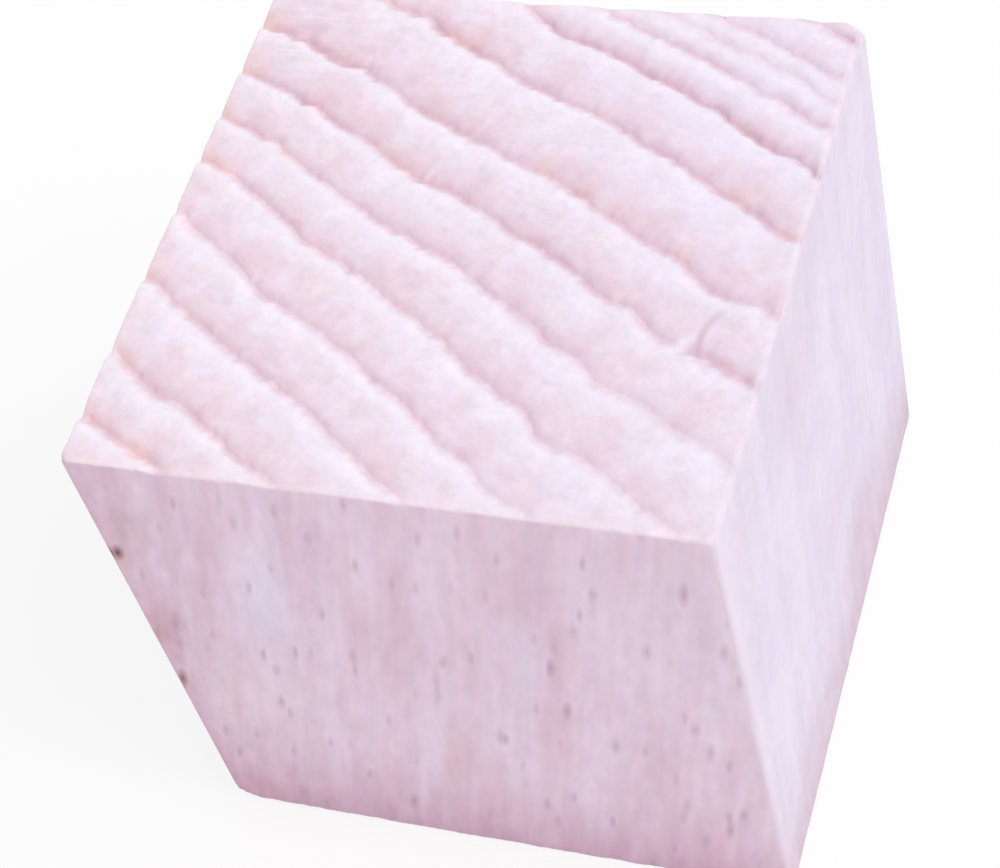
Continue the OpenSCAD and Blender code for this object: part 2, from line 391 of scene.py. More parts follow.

# How pale a place is made: as wear, the rim of the top and a ragged fringe at the top of the
# right-hand side; as wear and a painted highlight, the upper half of the rounded top edge (most in
# front); as a painted highlight, the upright edge in front on the right. And a painted shade: the
# rounded top edge on the right.
EDGE_WORN, FRONT_WEAR_AND_HIGHLIGHT = 0.2, 0.8
FRINGE, FRINGE_DEPTH, FRINGE_VARIES, FRINGE_CELL = 0.75, 0.55, 0.5, 0.45
UPRIGHT_HIGHLIGHT, UPRIGHT_REACH = 0.6, 0.7
worn, painted_arris_shade, facing = np.zeros((3, len(points)))
worn[:len(top)] = rim(top_x, top_y)
side_x, side_y = px[on_side].reshape(side_z.shape), py[on_side].reshape(side_z.shape)
ragged = FRINGE_DEPTH + FRINGE_VARIES * smooth_noise(side_y, side_x, FRINGE_CELL, seed=43)
fringe = FRINGE * (1 - (HEIGHT - side_z) / ragged).clip(0, 1) * outward[:, 0].clip(0)
# The upright edge in front on the right is made paler as a painted highlight
side_worn = np.maximum(fringe, UPRIGHT_HIGHLIGHT * bell(side_x, side_y, WIDTH / 2, -DEPTH / 2, UPRIGHT_REACH))
# The upper half of the rounded top edge: wear, and a painted highlight that is strongest in front
upper = side_worn[:half_arc + 1]
upper[:] = np.maximum(upper, EDGE_WORN + FRONT_WEAR_AND_HIGHLIGHT * (-outward[:, 1]).clip(0))
worn[on_side] = side_worn.ravel()
# The painted shade of the rounded top edge on the right, deepest halfway round it, where it faces the lamp
painted_arris_shade[first_wall:first_wall + len(ARC) * columns] = np.outer(np.sin(2 * ARC), outward[:, 0].clip(0)).ravel()
facing[on_side] = np.tile(np.abs(outward @ ACROSS), len(wall))   # how squarely a side faces the rings
for name, values in [
        ("ring", share), ("ring_width", RING_WIDTH[number % len(RINGS)]), ("line_strength", strength),
        ("warmth", warmth), ("rays", rays), ("streaks", streaks), ("worn", worn), ("painted_arris_shade", painted_arris_shade),
        ("facing_rings", facing)]:
    cube_mesh.attributes.new(name, "FLOAT", "POINT").data.foreach_set("value", values.astype(np.float32))
cube = bpy.data.objects.new("sanded_cube", cube_mesh)
bpy.context.scene.collection.objects.link(cube)
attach(cube, "root")
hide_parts("wooden_cube")


def linear(code):
    """sRGB hex to linear light, with the standard curve, and full opacity."""
    channels = np.array([int(code[i:i + 2], 16) for i in (1, 3, 5)]) / 255
    light = np.where(channels <= 0.04045, channels / 12.92, ((channels + 0.055) / 1.055) ** 2.4)
    return (*light.tolist(), 1)


def add(tree, kind, inputs, **settings):
    """Adds a shader node with its settings, and returns its outputs. An input is given a value, or a
    socket to be linked to."""
    node = tree.nodes.new("ShaderNode" + kind)
    for name, value in settings.items():
        setattr(node, name, value)
    for name, value in inputs.items():
        if isinstance(value, bpy.types.NodeSocket):
            tree.links.new(value, node.inputs[name])
        else:
            node.inputs[name].default_value = value
    return node.outputs


def soft_spot(tree, vector, centre, half_sizes):
    """How far inside a spot a point lies: 1 at its centre, falling straight to 0 at its half sizes."""
    inside = add(tree, "Mapping", {"Vector": vector, "Location": centre, "Scale": half_sizes},
                 vector_type="TEXTURE")[0]
    return add(tree, "TexGradient", {"Vector": inside}, gradient_type="SPHERICAL")["Fac"]


A, B, MIXED = 6, 7, 2                     # a Mix node's two colours, and its result
SMOOTH = "SMOOTHSTEP"
NOISE_LOW, NOISE_HIGH = 0.36, 0.64        # the part of a noise that is stretched to full contrast

# Beech end grain, sanded: matt, with the cut fibre ends as a fine felt. Each ring is pinkest in the
# groove, where a painted shade lies over a pink stain, climbs to a lilac white and is nearly white on the
# crest, as a painted highlight. A fibre is 0.02 mm thick, too fine to show, so the felt and the torn
# fibres are drawn coarser, in tufts.
PINK_BODY, LILAC_BODY, CREST = "#EEDCE8", "#F2E9FA", "#F9F2FF"
PINK_SPOT, CREAM_SPOT = "#ECD3DE", "#F5ECEE"
STAIN_AND_SHADE, SALMON, DARK, BROWN, BORDER = "#E5C0CD", "#EEC5C0", "#C8A8B5", "#CFA09F", "#F7E6EE"
TEETH, BEADS, CLOUDS, FELT, SPOTS, SAW = (size * MM for size in (0.25, 0.45, 1.7, 0.55, 0.75, 0.35))
end_grain = bpy.data.materials.new("beech_end_grain_sanded")
end_grain.use_nodes = True
tree = end_grain.node_tree
tree.nodes.clear()
place = add(tree, "TexCoord", {})["Object"]
ring, width, strong, warm, pale, sawn, border, arris_shade_mask = (
    add(tree, "Attribute", {}, attribute_name=name)["Fac"] for name in
    ("ring", "ring_width", "line_strength", "warmth", "rays", "streaks", "worn", "painted_arris_shade"))
along_rings = add(tree, "Mapping", {"Vector": place, "Rotation": (0, 0, -SLANT)})[0]

# Where in its ring a point lies. Torn fibres make the line ragged, by a few hundredths of a ring.
TEETH_REACH, TEETH_LONG = 0.06, 5         # share of a ring, and how much longer than wide they are
teeth_place = add(tree, "Mapping", {"Vector": along_rings, "Scale": (1, 1 / TEETH_LONG, 1)})[0]
teeth = add(tree, "TexNoise", {"Vector": teeth_place, "Scale": 1 / TEETH, "Detail": 2.0})["Fac"]
teeth = add(tree, "Math", {0: teeth, 1: 0.5}, operation="SUBTRACT")[0]
ragged = add(tree, "Math", {0: teeth, 1: TEETH_REACH, 2: ring}, operation="MULTIPLY_ADD")[0]
u = add(tree, "Math", {0: ragged}, operation="FRACT")[0]
u_left = add(tree, "Math", {0: 1.0, 1: u}, operation="SUBTRACT")[0]
to_line = add(tree, "Math", {0: u_left, 1: width}, operation="MULTIPLY")[0]
behind = add(tree, "Math", {0: u, 1: width}, operation="MULTIPLY")[0]

# The pink, a painted shade over a stain, fades out of the groove and covers the drop into the next one
PINK_REACH, PINK_POWER = 0.62, 1.4        # a share of the ring, and how the fading bends
pink = add(tree, "MapRange", {"Value": u, "From Max": PINK_REACH, "To Min": 1, "To Max": 0})[0]
pink = add(tree, "Math", {0: pink, 1: PINK_POWER}, operation="POWER")[0]
fall = add(tree, "MapRange", {"Value": to_line, "From Max": DROP, "To Min": 1, "To Max": 0},
           interpolation_type=SMOOTH)[0]
pink = add(tree, "Math", {0: pink, 1: fall}, operation="MAXIMUM")[0]
pink = add(tree, "Math", {0: pink, 1: strong}, operation="MULTIPLY", use_clamp=True)[0]

# It is darkest in the bottom of the groove, as a painted shade that is stronger in beads along the
# line. The bottom reaches further down the drop than up the climb.
BOTTOM_HALF, BOTTOM_SHIFT, BOTTOM_DARK = 0.48, 0.1, 0.45
BEAD_FROM, BEAD_TO, BEADS_LOW, BEADS_LONG = 0.35, 0.65, 0.3, 2
near_line = add(tree, "Math", {0: to_line, 1: BOTTOM_SHIFT}, operation="SUBTRACT")[0]
near_line = add(tree, "Math", {0: behind, 1: near_line}, operation="MINIMUM")[0]
bottom = add(tree, "MapRange", {"Value": near_line, "From Max": BOTTOM_HALF, "To Min": BOTTOM_DARK,
                                "To Max": 0}, interpolation_type=SMOOTH)[0]
bead_place = add(tree, "Mapping", {"Vector": along_rings, "Scale": (1, 1 / BEADS_LONG, 1)})[0]
beads = add(tree, "TexNoise", {"Vector": bead_place, "Scale": 1 / BEADS, "Detail": 2.0})["Fac"]
beads = add(tree, "MapRange", {"Value": beads, "From Min": BEAD_FROM, "From Max": BEAD_TO,
                               "To Min": BEADS_LOW, "To Max": 1.0})[0]
bottom = add(tree, "Math", {0: bottom, 1: beads}, operation="MULTIPLY")[0]
bottom = add(tree, "Math", {0: bottom, 1: strong}, operation="MULTIPLY", use_clamp=True)[0]

# The crest of the late wood, just before the drop, carries a painted highlight: nearly white, and less so
# towards the right
CREST_FROM, CREST_TO, CREST_WHITE, CREST_RIGHT = 0.4, 1.3, 0.7, 0.55
crest_highlight = add(tree, "MapRange", {"Value": to_line, "From Min": CREST_FROM, "From Max": CREST_TO,
                               "To Min": CREST_WHITE, "To Max": 0}, interpolation_type=SMOOTH)[0]
across_x = add(tree, "SeparateXYZ", {0: place})[0]
crest_kept = add(tree, "MapRange", {"Value": across_x, "From Max": WIDTH / 2 * MM, "To Min": 1.0,
                                    "To Max": CREST_RIGHT})[0]
crest_highlight = add(tree, "Math", {0: crest_highlight, 1: crest_kept}, operation="MULTIPLY")[0]

# Clouds of pink and lilac a millimetre or two wide, and the felt of fibre ends, each with a tint of
# its own
FELT_TINT, FELT_CONTRAST, FELT_SHORT = (0.03, 0.05, 0.05), 0.27, 0.75
SPOT_FROM, SPOT_TO, SPOT_SHARE = 0.58, 0.75, 0.5
clouds = add(tree, "TexNoise", {"Vector": place, "Scale": 1 / CLOUDS, "Detail": 4.0, "Roughness": 0.6})["Fac"]
clouds = add(tree, "MapRange", {"Value": clouds, "From Min": NOISE_LOW, "From Max": NOISE_HIGH})[0]
felt_place = add(tree, "Mapping", {"Vector": along_rings, "Scale": (FELT_SHORT, 1, 1)})[0]
fibre_ends = add(tree, "TexNoise", {"Vector": felt_place, "Scale": 1 / FELT, "Detail": 4.0, "Roughness": 0.7})
felt = fibre_ends["Fac"]
tint = add(tree, "VectorMath", {0: fibre_ends["Color"], 1: FELT_TINT, 2: [1 - c / 2 for c in FELT_TINT]},
           operation="MULTIPLY_ADD")[0]
mottle = add(tree, "Math", {0: felt, 1: 0.5}, operation="SUBTRACT")[0]
mottle = add(tree, "Math", {0: mottle, 1: FELT_CONTRAST, 2: 1.0}, operation="MULTIPLY_ADD")[0]
tint = add(tree, "VectorMath", {0: tint, "Scale": mottle}, operation="SCALE")[0]
colour = add(tree, "Mix", {0: clouds, A: linear(PINK_BODY), B: linear(LILAC_BODY)}, data_type="RGBA")[MIXED]
spots = add(tree, "TexNoise", {"Vector": place, "Scale": 1 / SPOTS, "Detail": 1.0})["Color"]
spots = add(tree, "SeparateColor", {0: spots})
for spot, spot_colour in [(spots[0], PINK_SPOT), (spots[1], CREAM_SPOT)]:
    spot = add(tree, "MapRange", {"Value": spot, "From Min": SPOT_FROM, "From Max": SPOT_TO,
                                  "To Max": SPOT_SHARE}, interpolation_type=SMOOTH)[0]
    colour = add(tree, "Mix", {0: spot, A: colour, B: linear(spot_colour)}, data_type="RGBA")[MIXED]

# The wood is cooler towards the far right corner
LILAC_CORNER, CORNER_AT, CORNER_REACH, CORNER_SHARE = "#F3EBFF", (9.5, 9.0), 9.0, 0.6
cool = soft_spot(tree, place, (CORNER_AT[0] * MM, CORNER_AT[1] * MM, HEIGHT * MM), (CORNER_REACH * MM,) * 3)
cool = add(tree, "Math", {0: cool, 1: CORNER_SHARE}, operation="MULTIPLY")[0]
colour = add(tree, "Mix", {0: cool, A: colour, B: linear(LILAC_CORNER)}, data_type="RGBA")[MIXED]
# The painted highlight on the crest
colour = add(tree, "Mix", {0: crest_highlight, A: colour, B: linear(CREST)}, data_type="RGBA")[MIXED]
WARM_SHARE = 0.9
warm = add(tree, "Math", {0: warm, 1: WARM_SHARE}, operation="MULTIPLY", use_clamp=True)[0]
stain_and_shade_colour = add(tree, "Mix", {0: warm, A: linear(STAIN_AND_SHADE), B: linear(SALMON)}, data_type="RGBA")[MIXED]
colour = add(tree, "Mix", {0: pink, A: colour, B: stain_and_shade_colour}, data_type="RGBA")[MIXED]

# A thin curved nick near the right edge: part of a circle, fading out at both ends
NICK_AT, NICK_RADIUS, NICK_MIDDLE, NICK_SPAN = (11.91, -3.91), 2.07, (9.95, -3.75), 2.0
NICK_HALF, NICK_DARK = 0.28, 0.6
circle = add(tree, "Mapping", {"Vector": place, "Location": (NICK_AT[0] * MM, NICK_AT[1] * MM, HEIGHT * MM),
                               "Scale": (MM, MM, 1)}, vector_type="TEXTURE")[0]
circle = add(tree, "VectorMath", {0: circle}, operation="LENGTH")["Value"]
off = add(tree, "Math", {0: circle, 1: NICK_RADIUS}, operation="SUBTRACT")[0]
off = add(tree, "Math", {0: off}, operation="ABSOLUTE")[0]
nick = add(tree, "MapRange", {"Value": off, "From Max": NICK_HALF, "To Min": 1.0, "To Max": 0},
           interpolation_type=SMOOTH)[0]
span = soft_spot(tree, place, (NICK_MIDDLE[0] * MM, NICK_MIDDLE[1] * MM, HEIGHT * MM),
                 (NICK_SPAN * MM, NICK_SPAN * MM, 1))
nick = add(tree, "Math", {0: nick, 1: span}, operation="MULTIPLY")[0]
# The dark of the nick is joined by the painted shade in the bottom of the groove
nick = add(tree, "Math", {0: nick, 1: NICK_DARK, 2: bottom}, operation="MULTIPLY_ADD", use_clamp=True)[0]
dark_colour = add(tree, "Mix", {0: warm, A: linear(DARK), B: linear(BROWN)}, data_type="RGBA")[MIXED]
colour = add(tree, "Mix", {0: nick, A: colour, B: dark_colour}, data_type="RGBA")[MIXED]

# The pale rays and the pale border of wear and painted highlight, over the stain and its painted shade, and
# then the felt's tints over everything
RAY_SHARE, BORDER_SHARE = 0.35, 0.5
pale = add(tree, "Math", {0: pale, 1: RAY_SHARE}, operation="MULTIPLY", use_clamp=True)[0]
colour = add(tree, "Mix", {0: pale, A: colour, B: linear(CREST)}, data_type="RGBA")[MIXED]
edge_share = add(tree, "Math", {0: border, 1: BORDER_SHARE}, operation="MULTIPLY", use_clamp=True)[0]
colour = add(tree, "Mix", {0: edge_share, A: colour, B: linear(BORDER)}, data_type="RGBA")[MIXED]
colour = add(tree, "VectorMath", {0: colour, 1: tint}, operation="MULTIPLY")[0]

# The wood is a shade warmer on the left than on the right. A Map Range node takes its four limits
# for vectors from socket 7 on.
WARM_TINT, COOL_TINT = (1.025, 1.005, 1.0), (0.99, 0.985, 1.01)
across_xxx = add(tree, "CombineXYZ", {0: across_x, 1: across_x, 2: across_x})[0]
side_tint = add(tree, "MapRange", {"Vector": across_xxx, 7: (-WIDTH / 2 * MM,) * 3, 8: (WIDTH / 2 * MM,) * 3,
                                   9: WARM_TINT, 10: COOL_TINT}, data_type="FLOAT_VECTOR")["Vector"]
colour = add(tree, "VectorMath", {0: colour, 1: side_tint}, operation="MULTIPLY")[0]

# Near the far left corner the saw left faint streaks from side to side, and a painted shade darkens
# the rounded edge on the right, where the lamp would light it brighter than the faces beside it
SAW_TURN, SAW_LONG, SAW_MIDDLE, SAW_CONTRAST = 0.12, 10, 0.55, 0.3
ARRIS_UNSHADED, ARRIS_SHADED = 1, 0.91
saw_place = add(tree, "Mapping", {"Vector": place, "Scale": (1 / SAW_LONG, 1, 1),
                                  "Rotation": (0, 0, SAW_TURN)})[0]
saw = add(tree, "TexNoise", {"Vector": saw_place, "Scale": 1 / SAW, "Detail": 2.0})["Fac"]
saw = add(tree, "Math", {0: saw, 1: SAW_MIDDLE}, operation="SUBTRACT")[0]
saw = add(tree, "Math", {0: saw, 1: sawn}, operation="MULTIPLY")[0]
saw = add(tree, "Math", {0: saw, 1: SAW_CONTRAST, 2: 1.0}, operation="MULTIPLY_ADD")[0]
colour = add(tree, "VectorMath", {0: colour, "Scale": saw}, operation="SCALE")[0]
arris_shading = add(tree, "MapRange", {"Value": arris_shade_mask, "To Min": ARRIS_UNSHADED, "To Max": ARRIS_SHADED})[0]
colour = add(tree, "VectorMath", {0: colour, "Scale": arris_shading}, operation="SCALE")[0]

# Bare sanded wood scatters light almost evenly, because its fibre ends stand up a few hundredths of a
# millimetre
SHEEN, FELT_DEPTH, FELT_STRENGTH = 0.25, 0.03 * MM, 0.5
END_SMOOTHEST, END_ROUGHEST = 0.72, 0.86
bump = add(tree, "Bump", {"Height": felt, "Strength": FELT_STRENGTH, "Distance": FELT_DEPTH})[0]
rough = add(tree, "MapRange", {"Value": felt, "To Min": END_SMOOTHEST, "To Max": END_ROUGHEST})[0]
shader = add(tree, "BsdfPrincipled", {"Base Color": colour, "Roughness": rough, "Normal": bump,
                                      "Specular IOR Level": SHEEN})[0]
add(tree, "OutputMaterial", {"Surface": shader})
cube_mesh.materials.append(end_grain)

# Beech long grain, sanded: matt, with fine upright fibres and the short dark dashes of the rays.
# The faces cut along the rings are pinker than those cut across them, and all are pinker at the foot.
FLAT_PINK, FLAT_LILAC, FLAT_FOOT = "#EFD1E2", "#F5E3F4", "#DDB7CC"
QUARTER_PINK, QUARTER_LILAC, QUARTER_FOOT = "#E4DBEC", "#EAE2F2", "#D8C4D1"
RAY, PIN, HALO = "#C2A2B8", "#7C4148", "#E5BFB2"
PATCHES, BLOTCHES, FIBRES, GRAIN_LINES = 2.2, 0.9, 0.5, 0.42   # widths of the patterns, in mm
GRIME = 0.8 * MM
long_grain = bpy.data.materials.new("beech_long_grain_sanded")
long_grain.use_nodes = True
tree = long_grain.node_tree
tree.nodes.clear()
place = add(tree, "TexCoord", {})["Object"]
grain_map = add(tree, "UVMap", {}, uv_map="grain")[0]
ring, facing, arris_shade_mask, border = (add(tree, "Attribute", {}, attribute_name=name)["Fac"]
                              for name in ("ring", "facing_rings", "painted_arris_shade", "worn"))

# The patterns are drawn out along the grain, more on a flat-sawn face than on a quarter-sawn one:
# heights on the grain map are multiplied by these shares for patches, fibres and their tints
DRAWN_OUT = [(0.18, 0.35), (0.33, 0.48), (0.8, 0.8)]
QUARTER_FACING, FLAT_FACING = 0.5, 0.86   # how squarely the right-hand side and the front face the rings
flat_sawn = add(tree, "MapRange", {"Value": facing, "From Min": QUARTER_FACING, "From Max": FLAT_FACING})[0]
drawn = [add(tree, "MapRange", {"Value": flat_sawn, "To Min": on_quarter, "To Max": on_flat})[0]
         for on_flat, on_quarter in DRAWN_OUT]
drawn = [add(tree, "CombineXYZ", {0: 1.0, 1: share, 2: 1.0})[0] for share in drawn]
patch_place, fibre_place, tint_place = (
    add(tree, "VectorMath", {0: grain_map, 1: share}, operation="MULTIPLY")[0] for share in drawn)
patches = add(tree, "TexNoise", {"Vector": patch_place, "Scale": 1 / PATCHES, "Detail": 4.0})["Fac"]
patches = add(tree, "MapRange", {"Value": patches, "From Min": NOISE_LOW, "From Max": NOISE_HIGH})[0]
flat = add(tree, "Mix", {0: patches, A: linear(FLAT_PINK), B: linear(FLAT_LILAC)}, data_type="RGBA")[MIXED]
quarter = add(tree, "Mix", {0: patches, A: linear(QUARTER_PINK), B: linear(QUARTER_LILAC)},
              data_type="RGBA")[MIXED]
colour = add(tree, "Mix", {0: flat_sawn, A: quarter, B: flat}, data_type="RGBA")[MIXED]
foot_colour = add(tree, "Mix", {0: flat_sawn, A: linear(QUARTER_FOOT), B: linear(FLAT_FOOT)},
                  data_type="RGBA")[MIXED]

# The foot of the block and its left edge are a deeper pink, with a cloudy border
CLOUDY = 7 * MM                           # how far the border strays
FOOT_FROM, FOOT_TO, FOOT_POWER = -0.2 * MM, 7 * MM, 1.5
LEFT_FROM, LEFT_TO, LEFT_SHARE = -12.3 * MM, -8.8 * MM, 0.45
along_x, _, up_z = add(tree, "SeparateXYZ", {0: place})
blotch = add(tree, "TexNoise", {"Vector": patch_place, "Scale": 1 / BLOTCHES, "Detail": 2.0})["Fac"]
blotch = add(tree, "Math", {0: blotch, 1: 0.5}, operation="SUBTRACT")[0]
foot = add(tree, "Math", {0: blotch, 1: CLOUDY, 2: up_z}, operation="MULTIPLY_ADD")[0]
foot = add(tree, "MapRange", {"Value": foot, "From Min": FOOT_FROM, "From Max": FOOT_TO, "To Min": 1,
                              "To Max": 0})[0]
foot = add(tree, "Math", {0: foot, 1: FOOT_POWER}, operation="POWER")[0]
left = add(tree, "Math", {0: blotch, 1: CLOUDY, 2: along_x}, operation="MULTIPLY_ADD")[0]
left = add(tree, "MapRange", {"Value": left, "From Min": LEFT_FROM, "From Max": LEFT_TO,
                              "To Min": LEFT_SHARE, "To Max": 0})[0]
grime = add(tree, "TexNoise", {"Vector": place, "Scale": 1 / GRIME, "Detail": 3.0})["Fac"]
grime = add(tree, "Math", {0: grime, 1: 0.5}, operation="SUBTRACT")[0]
grime = add(tree, "Math", {0: grime, 1: left}, operation="MULTIPLY")[0]
deeper = add(tree, "Math", {0: foot, 1: left}, operation="ADD", use_clamp=True)[0]
colour = add(tree, "Mix", {0: deeper, A: colour, B: foot_colour}, data_type="RGBA")[MIXED]

# Soft clouds of colour. On the front: place from the middle, height, half width, half height,
# colour and share. On the right-hand side the place runs from the middle to the back.
FRONT_CLOUDS = [
    (5.3, 21, 0.7, 4.5, "#E2C8E0", 0.5), (11.2, 18.5, 0.8, 5, "#DDC2DA", 0.5),
    (-0.8, 6.5, 0.9, 5, "#E6C6CC", 0.6), (-10.4, 9, 0.9, 8, "#EFD8DD", 0.6),
    (-6.6, 16.5, 2.6, 6, "#F4E8FD", 0.8), (3.9, 15.5, 1.2, 4.5, "#F4E8FD", 0.7),
    (-11.8, 13.8, 1.3, 3.6, "#DDB3C0", 0.9), (-11.2, 20.8, 1.6, 2.2, "#DCBFC8", 0.7),
    (-3.4, 20.5, 0.9, 5, "#E6CBE2", 0.45), (-10.8, 1.2, 1.8, 1.6, "#DDB4BC", 0.5),
    (-7.6, 1.3, 1.2, 1.5, "#DAB2BC", 0.45), (6.6, 9.5, 1.4, 4, "#F4E6F8", 0.5),
    (-8.6, 9.5, 3, 4.5, "#F6E6F0", 0.6), (9.3, 21, 3, 4.5, "#E6CFE0", 0.3)]
RIGHT_CLOUDS = [
    (-2.8, 21, 3.2, 3.5, "#DFC9DD", 0.6), (3, 4.5, 3.5, 3.5, "#D3B3C3", 0.5),
    (0.5, 9.5, 4, 2.5, "#DFC9DD", 0.35), (0, 25.5, 16, 6.5, "#DCC6D6", 0.22),
    (-10, 22, 2.5, 3, "#E3D2E3", 0.4)]
all_clouds = [(x, x + in_x, FRONT_AT, *rest) for x, *rest in FRONT_CLOUDS]
all_clouds += [(in_x, 2 * in_x + in_y + y, RIGHT_AT, *rest) for y, *rest in RIGHT_CLOUDS]
for x, walked, faces_at, z, half_wide, half_long, cloud, how in all_clouds:
    at = grain_place(walked, grain_lean(x, faces_at), z)
    spot = soft_spot(tree, grain_map, (*at, 0), (half_wide, half_long, 1))
    spot = add(tree, "Math", {0: spot, 1: how}, operation="MULTIPLY")[0]
    colour = add(tree, "Mix", {0: spot, A: colour, B: linear(cloud)}, data_type="RGBA")[MIXED]

# Bundles of fibres half a millimetre wide and a millimetre or two long, each with a tint of its
# own: bluish, pinkish or straw. A single fibre is too fine to show. Fainter lines run far up the
# grain, and the late wood of each ring runs down as a slightly darker band.
FIBRE_TINT = (0.04, 0.065, 0.055)
FIBRES_QUARTER, FIBRES_FLAT, LINES_QUARTER, LINES_FLAT = 0.11, 0.18, 0.02, 0.11
LINES_SHORT, GRIME_CONTRAST, LATE_FROM, LATE_SHADE = 0.07, 0.7, 0.7, 0.97
fibres = add(tree, "TexNoise", {"Vector": fibre_place, "Scale": 1 / FIBRES, "Detail": 1.0})["Fac"]
tint = add(tree, "TexNoise", {"Vector": tint_place, "Scale": 1 / FIBRES, "Detail": 1.0})["Color"]
tint = add(tree, "VectorMath", {0: tint, 1: FIBRE_TINT, 2: [1 - c / 2 for c in FIBRE_TINT]},
           operation="MULTIPLY_ADD")[0]
colour = add(tree, "VectorMath", {0: colour, 1: tint}, operation="MULTIPLY")[0]
contrast = add(tree, "MapRange", {"Value": flat_sawn, "To Min": FIBRES_QUARTER, "To Max": FIBRES_FLAT})[0]
lined = add(tree, "MapRange", {"Value": flat_sawn, "To Min": LINES_QUARTER, "To Max": LINES_FLAT})[0]
shade = add(tree, "Math", {0: fibres, 1: 0.5}, operation="SUBTRACT")[0]
shade = add(tree, "Math", {0: shade, 1: contrast, 2: 1.0}, operation="MULTIPLY_ADD")[0]
line_place = add(tree, "Mapping", {"Vector": grain_map, "Scale": (1, LINES_SHORT, 1)})[0]
grain_lines = add(tree, "TexNoise", {"Vector": line_place, "Scale": 1 / GRAIN_LINES, "Detail": 0.0})["Fac"]
grain_lines = add(tree, "Math", {0: grain_lines, 1: 0.5}, operation="SUBTRACT")[0]
shade = add(tree, "Math", {0: grain_lines, 1: lined, 2: shade}, operation="MULTIPLY_ADD")[0]
shade = add(tree, "Math", {0: grime, 1: GRIME_CONTRAST, 2: shade}, operation="MULTIPLY_ADD")[0]
u = add(tree, "Math", {0: ring}, operation="FRACT")[0]
late = add(tree, "MapRange", {"Value": u, "From Min": LATE_FROM, "From Max": 1.0, "To Min": 1.0,
                              "To Max": LATE_SHADE})[0]
shade = add(tree, "Math", {0: shade, 1: late}, operation="MULTIPLY")[0]
# The same painted shade darkens the rounded top edge on the right
arris_shading = add(tree, "MapRange", {"Value": arris_shade_mask, "To Min": ARRIS_UNSHADED, "To Max": ARRIS_SHADED})[0]
shade = add(tree, "Math", {0: shade, 1: arris_shading}, operation="MULTIPLY")[0]
colour = add(tree, "VectorMath", {0: colour, "Scale": shade}, operation="SCALE")[0]

# The ends of the rays: short dark dashes a quarter of a millimetre wide, one in each cell of 1.5 by
# 5.5 mm. They are clear on a flat-sawn face and faint on a quarter-sawn one.
DASH_CELL, DASH_CORE, DASH_HALF = (1.5, 5.5), 0.02, 0.13
DASH_FAINT, DASH_CLEAR = 0.06, 0.5
dash_place = add(tree, "Mapping", {"Vector": grain_map, "Scale": (1 / DASH_CELL[0], 1 / DASH_CELL[1], 1)})[0]
cells = add(tree, "TexVoronoi", {"Vector": dash_place, "Scale": 1.0, "Randomness": 1.0},
            voronoi_dimensions="2D")
dash = add(tree, "MapRange", {"Value": cells["Distance"], "From Min": DASH_CORE, "From Max": DASH_HALF,
                              "To Min": 1, "To Max": 0}, interpolation_type=SMOOTH)[0]
clear = add(tree, "SeparateColor", {0: cells["Color"]})[0]
clear = add(tree, "Math", {0: clear, 1: flat_sawn}, operation="MULTIPLY")[0]
clear = add(tree, "MapRange", {"Value": clear, "To Min": DASH_FAINT, "To Max": DASH_CLEAR})[0]
dash = add(tree, "Math", {0: dash, 1: clear}, operation="MULTIPLY")[0]

# The dashes that stand out on the front: place from the middle, height, half length and share
MARK_HALF, MARK_LONGER, MARK_DARK = 0.25, 1.1, 0.78
MARKS = [
    (4.8, 15.2, 0.75, 1.0), (10.9, 21.5, 0.9, 1.0), (4.9, 12.1, 0.8, 1.0), (-3.7, 2.4, 0.75, 1.0),
    (10.4, 4.5, 0.9, 0.9), (11.9, 18.0, 0.8, 0.8), (-7.9, 9.3, 0.7, 0.8), (11.1, 5.9, 0.7, 0.8),
    (-3.6, 13.8, 0.7, 0.7), (6.5, 9.9, 0.75, 0.7), (2.8, 2.8, 0.6, 0.7), (1.6, 9.2, 0.7, 0.7),
    (-11.1, 14.4, 1.0, 0.7), (10.4, 10.6, 0.8, 0.65), (7.4, 20.7, 0.6, 0.65), (8.9, 17.3, 0.6, 0.65),
    (9.2, 3.2, 0.7, 0.6), (0.3, 14.4, 0.6, 0.6), (10.0, 12.1, 0.6, 0.6), (8.5, 5.0, 0.7, 0.6),
    (5.2, 16.7, 1.0, 0.5), (-0.5, 11.8, 0.8, 0.5), (-0.3, 12.9, 0.9, 0.5), (6.2, 18.0, 0.6, 0.5),
    (-7.4, 11.9, 0.6, 0.5), (-3.3, 21.9, 0.6, 0.5), (-6.2, 22.3, 0.6, 0.5), (8.8, 6.0, 0.7, 0.55)]
for x, z, half_long, how in MARKS:
    at = grain_place(x + in_x, grain_lean(x, FRONT_AT), z)
    spot = soft_spot(tree, grain_map, (*at, 0), (MARK_HALF, MARK_LONGER * half_long, 1))
    dash = add(tree, "Math", {0: spot, 1: MARK_DARK * how, 2: dash}, operation="MULTIPLY_ADD")[0]
dash = add(tree, "Math", {0: dash, 1: 1.0}, operation="MINIMUM")[0]
colour = add(tree, "Mix", {0: dash, A: colour, B: linear(RAY)}, data_type="RGBA")[MIXED]
# The pale edges: wear, and a painted highlight on the edges in front
edge_share = add(tree, "Math", {0: border, 1: BORDER_SHARE}, operation="MULTIPLY", use_clamp=True)[0]
colour = add(tree, "Mix", {0: edge_share, A: colour, B: linear(BORDER)}, data_type="RGBA")[MIXED]

